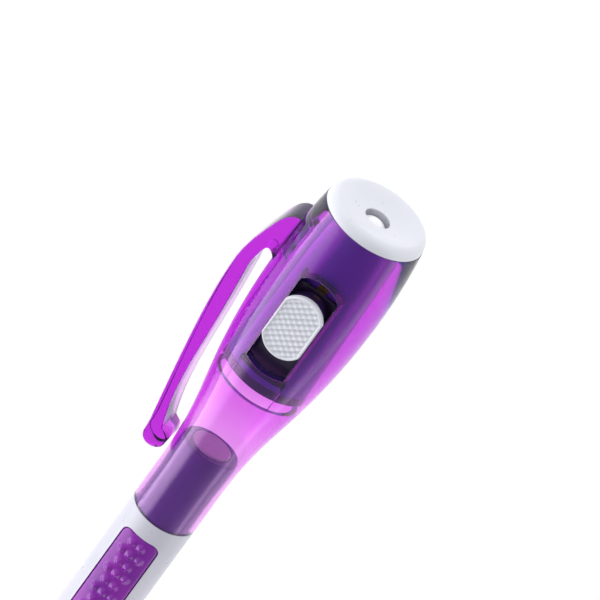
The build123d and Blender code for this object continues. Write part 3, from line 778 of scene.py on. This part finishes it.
bezel_back = [
    dish[-2],
    (face, HOLE_R),
    (ring_high, HOLE_R),
    (ring_high, RING_R),
    (ring_low, RING_R),
    (ring_low, LAMP_BORE_R),
    (TOP - LAMP_SEAT, LAMP_BORE_R),
    (TOP - LAMP_SEAT, FLANGE_BORE_R),
    (TOP - PLATE_BACK, FLANGE_BORE_R),
    (TOP - PLATE_BACK, SPIGOT_R - SPIGOT_WALL),
    (TOP - SPIGOT_LONG, SPIGOT_R - SPIGOT_WALL),
    (TOP - SPIGOT_LONG, SPIGOT_R),
    (TOP, SPIGOT_R),
    (TOP, RIM_LINE[0][1] - RIM_LIP),
    (TOP, RIM_LINE[0][1]),
]
bezel_back = round_corners(bezel_back, BEZEL_EDGE, steps=3)
verts, faces = lathe(np.vstack([rim, dish[1:-1], bezel_back[1:-1]]), segments=160, loop=True)
make("bezel", verts, faces, WHITE, "pen", ["lamp_bezel"])
ring_mid_r = (RING_R + HOLE_R) / 2
ring_line = [
    (ring_low, ring_mid_r),
    (ring_low, RING_R),
    (ring_high, RING_R),
    (ring_high, HOLE_R),
    (ring_low, HOLE_R),
    (ring_low, ring_mid_r),
]
ring_line = round_corners(ring_line, RING_EDGE, steps=3)
verts, faces = lathe(ring_line, segments=96, loop=True)
make("ring_liner", verts, faces, SATIN, "pen", ["lamp_ring"])

# ---------------------------------------------------------------- lamp
LAMP_R = 2.5
LAMP_SUNK = 0.35
FLANGE_R = 2.9
FLANGE_LONG = 1.0
LAMP_CORE_R = 0.5
LAMP_EDGE = 0.12
lamp_low = span("uv_lamp")[0][0]
dome_x = face - LAMP_SUNK - LAMP_R
dome = [
    (dome_x + LAMP_R * math.sin(t), LAMP_R * math.cos(t)) for t in np.linspace(0, math.pi / 2, 20)
]
flange = [
    (lamp_low, LAMP_CORE_R),
    (lamp_low, FLANGE_R),
    (lamp_low + FLANGE_LONG, FLANGE_R),
    (lamp_low + FLANGE_LONG, LAMP_R),
    (lamp_low + 2 * FLANGE_LONG, LAMP_R),
]
lamp_line = [(lamp_low, 0.0), *round_corners(flange, LAMP_EDGE), *dome]
verts, faces = lathe(lamp_line, segments=72)
make("lamp_body", verts, faces, LAMP, "pen", ["uv_lamp"])

# ---------------------------------------------------------------- thumb button and its slider
button_low, button_high = span("switch_button")
button_mid = ((button_low + button_high) / 2)[:2]
button_long = button_high[0] - button_low[0]
BUTTON_ARCH = 2.0
BUTTON_RIM = 0.2
BUTTON_THICK = 1.1
BUTTON_FOOT = ((0.25, 0.0), (0.07, 0.07), (0, 0.25))
KNURL_PITCH = 0.8
KNURL_TURN = math.radians(39)
KNURL_DEPTH = (0.26, 0.12)
KNURL_SUNK = 0.02
KNURL_FADE = 12
KNURL_RINGS = 72
KNURL_SHRINK = 0.985


def knurl(x, y):
    """Height of two crossing sets of diagonal ridges, the first set the stronger."""
    height = 0
    for sign, depth in zip((1, -1), KNURL_DEPTH):
        across = (x * math.cos(KNURL_TURN) + sign * y * math.sin(KNURL_TURN)) / KNURL_PITCH
        height = height + depth * (1 - 2 * np.abs(across - np.round(across)))
    return height


def button_mesh():
    """Cap with arched ends and a round rim, knurled from just inside the rim to the middle."""
    plan = rounded_ends(button_long, BUTTON_WIDTH, BUTTON_ARCH, BUTTON_ARCH)
    plan = resample(plan, count=360)
    top = button_high[2]
    foot = top - BUTTON_THICK
    rings = []

    def ring(shape, z):
        rings.append(np.column_stack([shape + button_mid, np.broadcast_to(z, len(shape))]))

    for inset, rise in BUTTON_FOOT:
        ring(offset(plan, -inset), foot + rise)
    for t in np.linspace(0, math.pi / 2, 7):
        ring(offset(plan, -BUTTON_RIM * (1 - math.cos(t))), top - BUTTON_RIM * (1 - math.sin(t)))
    flat = offset(plan, -BUTTON_RIM)
    for t in np.linspace(0, 1, KNURL_RINGS)[1:]:
        shape = flat * (1 - t * KNURL_SHRINK)
        depth = smoothstep(t * KNURL_FADE)
        cut = sum(KNURL_DEPTH) - knurl(shape[:, 0], shape[:, 1])
        ring(shape, top - KNURL_SUNK - depth * cut)
    return loft(rings)


verts, faces = button_mesh()
make(
    "thumb_button", verts, faces, WHITE, "switch", ["switch_button"], smooth_deg=25
)


def slab(plan, low_z, high_z, edge):
    """Verts and faces of an upright block over an outline, with rounded top and bottom edges."""
    rings = []
    for sign, base in ((-1, low_z + edge), (1, high_z - edge)):
        turns = np.linspace(0, math.pi / 2, 5)
        for t in turns[::-1] if sign < 0 else turns:
            shape = offset(plan, -edge * (1 - math.cos(t)))
            z = base + sign * edge * math.sin(t)
            rings.append(np.column_stack([shape, np.full(len(shape), z)]))
    return loft(rings)


PEG_LONG, PEG_WIDE, PEG_TALL = 4.0, 2.0, 1.6
peg = rounded_box(PEG_LONG, PEG_WIDE, corner=0.2, count=4) + button_mid
verts, faces = slab(peg, button_low[2], button_low[2] + PEG_TALL, edge=0.1)
make("button_peg", verts, faces, WHITE, "switch")

slider_low, slider_high = span("switch_slider")
PLATE_LONG, PLATE_WIDE, PLATE_THICK = 15.0, 6.1, 0.75
NECK_LONG, NECK_WIDE, NECK_TOP = 6.0, 4.6, 6.6
NECK_OVERLAP = 0.05
BLOCK_SPARE = 0.3
BLOCK_FOOT = 6.5
plate_mid = [slider_low[0] + PLATE_LONG / 2, 0]
plate = rounded_box(PLATE_LONG, PLATE_WIDE, corner=0.5, count=5) + plate_mid
plate_top = slider_low[2] + PLATE_THICK
verts, faces = slab(plate, slider_low[2], plate_top, edge=0.12)
make("slider_plate", verts, faces, SLIDER, "switch", ["switch_slider"])
neck = rounded_box(NECK_LONG, NECK_WIDE, corner=0.4, count=5) + button_mid
verts, faces = slab(neck, plate_top - NECK_OVERLAP, NECK_TOP, edge=0.05)
make("slider_neck", verts, faces, SLIDER, "switch")
block = rounded_ends(
    button_long - BLOCK_SPARE, BUTTON_WIDTH - BLOCK_SPARE, BUTTON_ARCH, BUTTON_ARCH
)
block = resample(block, count=200) + button_mid
verts, faces = slab(block, BLOCK_FOOT, slider_high[2], edge=0.15)
make("slider_block", verts, faces, SLIDER, "switch")

# ---------------------------------------------------------------- barrel sleeve and inner tube
GRIP_LONG = 37.4
GRIP_START = 2.8
GRIP_WIDE = 6.4
GRIP_WINDOW_CORNER = 1.5
GRIP_WINDOW_MARGIN = 0.45
GRIP_HALF_TURN = math.radians(62)
GRIP_WINDOW_ROUNDING = 0.1
SLEEVE_R = SLEEVE_HIGH[2]
SLEEVE_BORE = 4.2
SLEEVE_LIP = 0.4
SLEEVE_TURNS = 160
BAND_GROOVE = (4.3, 5.1)
BAND_GROOVE_R = SLEEVE_R - 0.25
front, sleeve_end = SLEEVE_LOW[0], SLEEVE_HIGH[0]
grip_mid = sleeve_end - GRIP_START - GRIP_LONG / 2
sleeve_outer = round_corners(
    [
        (front, SLEEVE_BORE + SLEEVE_LIP),
        (front, SLEEVE_R),
        (BAND_GROOVE[0], SLEEVE_R),
        (BAND_GROOVE[0], BAND_GROOVE_R),
        (BAND_GROOVE[1], BAND_GROOVE_R),
        (BAND_GROOVE[1], SLEEVE_R),
        (sleeve_end, SLEEVE_R),
        (sleeve_end, SLEEVE_BORE + SLEEVE_LIP),
    ],
    [0, 0.3, 0.1, 0.08, 0.08, 0.1, 0.1, 0],
)
sleeve_inner = round_corners(
    [
        (front, SLEEVE_BORE + SLEEVE_LIP),
        (front, SLEEVE_BORE),
        (sleeve_end, SLEEVE_BORE),
        (sleeve_end, SLEEVE_BORE + SLEEVE_LIP),
    ],
    0.08,
)
grip_plan = rounded_box(GRIP_LONG, GRIP_WIDE, GRIP_WINDOW_CORNER)
grip_reach = GRIP_LONG / 2 + GRIP_WINDOW_MARGIN
sleeve_windows = [
    (grip_mid, turn, grip_plan, grip_reach, GRIP_HALF_TURN, GRIP_WINDOW_ROUNDING)
    for turn in (0.0, math.pi)
]
verts, faces = windowed_tube(
    dense_line(sleeve_outer), dense_line(sleeve_inner), sleeve_windows, SLEEVE_TURNS
)
make("sleeve", verts, faces, SHADED_WHITE, "pen", ["barrel_sleeve"])

TUBE_R = 4.15
NECK_R = 4.4
TUBE_BORE = 3.3
TUBE_LIP = 0.4
NECK_BORE = 2.95
NECK_SEAT = 6.0
tube_line = round_corners(
    [
        (front, TUBE_BORE + TUBE_LIP),
        (front, TUBE_R),
        (sleeve_end, TUBE_R),
        (sleeve_end, NECK_R),
        (NECK_END, NECK_R),
        (NECK_END, NECK_BORE),
        (NECK_END - NECK_SEAT, NECK_BORE),
        (NECK_END - NECK_SEAT, TUBE_BORE),
        (front, TUBE_BORE),
        (front, TUBE_BORE + TUBE_LIP),
    ],
    [0, 0.15, 0.03, 0.03, 0.45, 0.3, 0.03, 0.03, 0.1, 0],
)
verts, faces = lathe(dense_line(tube_line, step=3.0), segments=128, loop=True)
make("inner_tube", verts, faces, TUBE, "pen", ["inner_barrel"])

# ---------------------------------------------------------------- grips
PAD_GRID = (420, 76)
PAD_GAP = 0.06
PAD_CORNER = 1.45
PAD_LOW_R = 3.75
PAD_SIDE_R = 4.0
PAD_SIDE = 0.12
PAD_EDGE = 0.5
PAD_EDGE_DROP = 0.25
DOT_INSET = 1.6
DOT_PITCH = 1.9
DOT_COLUMN = math.radians(18)
DOT_R = 0.85
DOT_RISE = 0.5


def grip_mesh(turn):
    """Raised pad that fills a window of the sleeve, with staggered rows of round dots."""
    half_x, half_y = GRIP_LONG / 2, GRIP_WIDE / 2
    xs = np.linspace(-half_x, half_x, PAD_GRID[0])
    ys = np.linspace(-half_y, half_y, PAD_GRID[1])
    x, y = np.meshgrid(xs, ys, indexing="ij")
    qx = np.abs(x) - (half_x - PAD_GAP - PAD_CORNER)
    qy = np.abs(y) - (half_y - PAD_GAP - PAD_CORNER)
    outside = np.hypot(np.maximum(qx, 0), np.maximum(qy, 0)) + np.minimum(np.maximum(qx, qy), 0)
    depth = PAD_CORNER - outside
    r = PAD_SIDE_R + (SLEEVE_R - PAD_SIDE_R) * np.clip(depth / PAD_SIDE, 0, 1)
    r -= PAD_EDGE_DROP * (1 - smoothstep(depth / PAD_EDGE)) ** 2
    s = SLEEVE_R * np.arcsin(y / SLEEVE_R)
    rows = int((GRIP_LONG - 2 * DOT_INSET) / DOT_PITCH)
    for row in range(rows + 1):
        dot_x = -half_x + DOT_INSET + row * DOT_PITCH
        for step in (-1, 0, 1) if row % 2 else (-0.5, 0.5):
            away = np.hypot(x - dot_x, s - SLEEVE_R * step * DOT_COLUMN)
            r += DOT_RISE * (1 - smoothstep(away / DOT_R))
    r = np.where(depth > 0, r, PAD_SIDE_R)
    top = np.stack([x + grip_mid, y, np.sqrt(r**2 - y**2)], axis=-1)
    low = np.stack([x + grip_mid, y, np.sqrt(PAD_LOW_R**2 - y**2)], axis=-1)
    nx, ny = PAD_GRID
    verts = np.concatenate([top.reshape(-1, 3), low.reshape(-1, 3)])
    faces = []
    for i in range(nx - 1):
        for j in range(ny - 1):
            a = i * ny + j
            faces.append((a, a + ny, a + ny + 1, a + 1))
            b = nx * ny + a
            faces.append((b, b + 1, b + ny + 1, b + ny))
    rim = [i * ny for i in range(nx)] + [(nx - 1) * ny + j for j in range(1, ny)]
    rim += [i * ny + ny - 1 for i in range(nx - 2, -1, -1)] + [j for j in range(ny - 2, 0, -1)]
    for a, b in zip(rim, rim[1:] + rim[:1]):
        faces.append((a, nx * ny + a, nx * ny + b, b))
    return verts * [1, math.cos(turn), math.cos(turn)], faces


for name, turn in (("grip_upper", 0.0), ("grip_lower", math.pi)):
    verts, faces = grip_mesh(turn)
    make(name, verts, faces, GRIP, "pen", smooth_deg=50)

# ---------------------------------------------------------------- writing end
SPIGOT_BORE = 1.0
SPIGOT_MID = 1.4
COLLAR_R = 4.0
COLLAR_LONG = 8.0
CONE_BACK_R = 3.5
CONE_TIP_R = 1.6
section_low, section_high = (corner[0] for corner in span("nib_section"))
collar_end = front - COLLAR_LONG
section_line = round_corners(
    [
        (section_high, SPIGOT_MID),
        (section_high, TUBE_BORE),
        (front, TUBE_BORE),
        (front, COLLAR_R),
        (collar_end, COLLAR_R),
        (collar_end, CONE_BACK_R),
        (section_low, CONE_TIP_R),
        (section_low, SPIGOT_BORE),
        (section_high, SPIGOT_BORE),
        (section_high, SPIGOT_MID),
    ],
    [0, 0.3, 0.02, 0.1, 0.12, 0.05, 0.2, 0.05, 0.05, 0],
)
verts, faces = lathe(dense_line(section_line, step=2.0), segments=96, loop=True)
make("grip_section", verts, faces, SECTION, "pen", ["nib_section"])

CAP_R = 4.8
CAP_TIP_R = 4.0
CAP_BORE_R = COLLAR_R + 0.08
CAP_BORE_LONG = 9.0
CAP_TIP_BORE_R = 3.35
CAP_END_WALL = 1.6
cap_end, cap_open = (corner[0] for corner in span("nib_cap"))
cap_line = round_corners(
    [
        (cap_end, 0),
        (cap_end, CAP_TIP_R),
        (cap_open - COLLAR_LONG, CAP_R),
        (cap_open, CAP_R),
        (cap_open, CAP_BORE_R),
        (cap_open - CAP_BORE_LONG, CAP_BORE_R),
        (cap_end + CAP_END_WALL, CAP_TIP_BORE_R),
        (cap_end + CAP_END_WALL, 0),
    ],
    [0, 1.2, 3.0, 0.25, 0.15, 1.0, 0.4, 0],
    steps=8,
)
verts, faces = lathe(dense_line(cap_line, step=2.0), segments=128)
make("clear_cap", verts, faces, PURPLE, "cap", ["nib_cap"])

# ---------------------------------------------------------------- CAD nodes that stay as they are
keep(["barrel_plug"], PLUG)
keep(["lamp_carrier"], CARRIER)
keep(["cell_cover"], COVER)
keep(["lamp_leads", "cell_spring"], NICKEL)
keep(["button_cell_1", "button_cell_2", "button_cell_3"], CELL)
keep(["switch_contact_strip", "front_contact", "switch_leaf"], COPPER)
keep(["cap_seal"], SECTION)
keep(["fibre_nib", "ink_reservoir"], FELT)
keep(["reservoir_sleeve"], FILM)

# ---------------------------------------------------------------- floor, light, camera
FLOOR_DROP = 0.05
FLOOR_REACH = 8.0
FLOOR_GREY = 0.9
FLOOR_GLOW = 0.3
floor_z = CAD_BOX[0][2] - FLOOR_DROP
floor_mesh = bpy.data.meshes.new("floor")
floor_corners = [
    (x * FLOOR_REACH, y * FLOOR_REACH, floor_z) for x, y in ((-1, -1), (1, -1), (1, 1), (-1, 1))
]
floor_mesh.from_pydata(floor_corners, [], [(0, 1, 2, 3)])
floor = bpy.data.objects.new("floor", floor_mesh)
bpy.context.scene.collection.objects.link(floor)
floor_look = Nodes("floor", Base_Color=(FLOOR_GREY, FLOOR_GREY, FLOOR_GREY, 1), Roughness=0.9)
floor_look.shader.inputs["Emission Color"].default_value = (1, 1, 1, 1)
floor_look.shader.inputs["Emission Strength"].default_value = FLOOR_GLOW
floor.data.materials.append(floor_look.material)

# The camera faces the button and is tilted by TILT towards the lamp's end. It is turned about
# the pen's axis by ROLL, and the pen leans by TURN in the picture. SCALE is picture points to a
# millimetre, and the point that the camera aims at is measured from the head's top.
TILT = math.radians(30.2)
ROLL = math.radians(4)
TURN = math.radians(36)
SCALE = 7.35
DISTANCE = 1200.0
PICTURE = 600
SENSOR = 36
AIM_SIDEWAYS = 2.05
AIM_BACK = 14.68
face_on = Vector((0, -math.sin(ROLL), math.cos(ROLL)))
sideways = Vector((0, -math.cos(ROLL), -math.sin(ROLL)))
along = Vector((1, 0, 0))
to_camera = math.sin(TILT) * along + math.cos(TILT) * face_on
up_pen = math.cos(TILT) * along - math.sin(TILT) * face_on
right = math.sin(TURN) * up_pen + math.cos(TURN) * sideways
up = math.cos(TURN) * up_pen - math.sin(TURN) * sideways
target = Vector((TOP, 0, 0)) - AIM_SIDEWAYS * sideways - AIM_BACK * up_pen
camera = bpy.data.objects.new("camera", bpy.data.cameras.new("camera"))
bpy.context.scene.collection.objects.link(camera)
camera.data.sensor_width = SENSOR
camera.data.lens = SCALE * DISTANCE * SENSOR / PICTURE
camera.data.clip_start = 0.05
camera.data.clip_end = 50
turned = Matrix((right, up, to_camera)).transposed().to_4x4()
camera.matrix_world = Matrix.Translation((target + to_camera * DISTANCE) * MM) @ turned
bpy.context.scene.camera = camera

# Soft studio: a dim light from all round, a paler surround at and below the horizon, and two
# soft boxes on the clip's side, one low and strong and one higher, broad and faint. Each light
# is a direction, the cosines where it starts and where it is full, and its value.
LIGHTS = (
    ((0, 0, -1), -0.75, -0.2, 0.3),
    ((0, 0, -1), -0.32, -0.08, 1.1),
    ((-0.5, 0.8, 0.25), 0.78, 0.95, 2.0),
    ((0.5, 0.6, 0.5), 0.2, 0.95, 0.5),
)
SURROUND = 0.42
BOUNCES = 28
world = bpy.data.worlds.new("studio")
bpy.context.scene.world = world
world.use_nodes = True
tree = world.node_tree
background = tree.nodes["Background"]
background.inputs["Color"].default_value = (1, 1, 1, 1)


def lobe(direction, start, stop, value):
    """Light from round a direction: value inside, falling smoothly to nothing outside."""
    coordinates = tree.nodes.new("ShaderNodeTexCoord")
    dot = tree.nodes.new("ShaderNodeVectorMath")
    dot.operation = "DOT_PRODUCT"
    dot.inputs[1].default_value = Vector(direction).normalized()
    ramp = tree.nodes.new("ShaderNodeMapRange")
    ramp.interpolation_type = "SMOOTHSTEP"
    limits = (start, stop, 0, value)
    for socket, number in zip(("From Min", "From Max", "To Min", "To Max"), limits):
        ramp.inputs[socket].default_value = number
    tree.links.new(coordinates.outputs["Generated"], dot.inputs[0])
    tree.links.new(dot.outputs["Value"], ramp.inputs["Value"])
    return ramp.outputs["Result"]


def total(outputs, constant):
    """Sum of node outputs and a constant, as one more node output."""
    result = None
    for output in outputs:
        node = tree.nodes.new("ShaderNodeMath")
        node.operation = "ADD"
        node.inputs[1].default_value = constant
        tree.links.new(output, node.inputs[0])
        if result is not None:
            tree.links.new(result, node.inputs[1])
        result = node.outputs[0]
    return result


strength = total([lobe(*light) for light in LIGHTS], SURROUND)
tree.links.new(strength, background.inputs["Strength"])
scene = bpy.context.scene
scene.view_settings.view_transform = "Standard"
for limit in ("max_bounces", "glossy_bounces", "transmission_bounces"):
    setattr(scene.cycles, limit, BOUNCES)
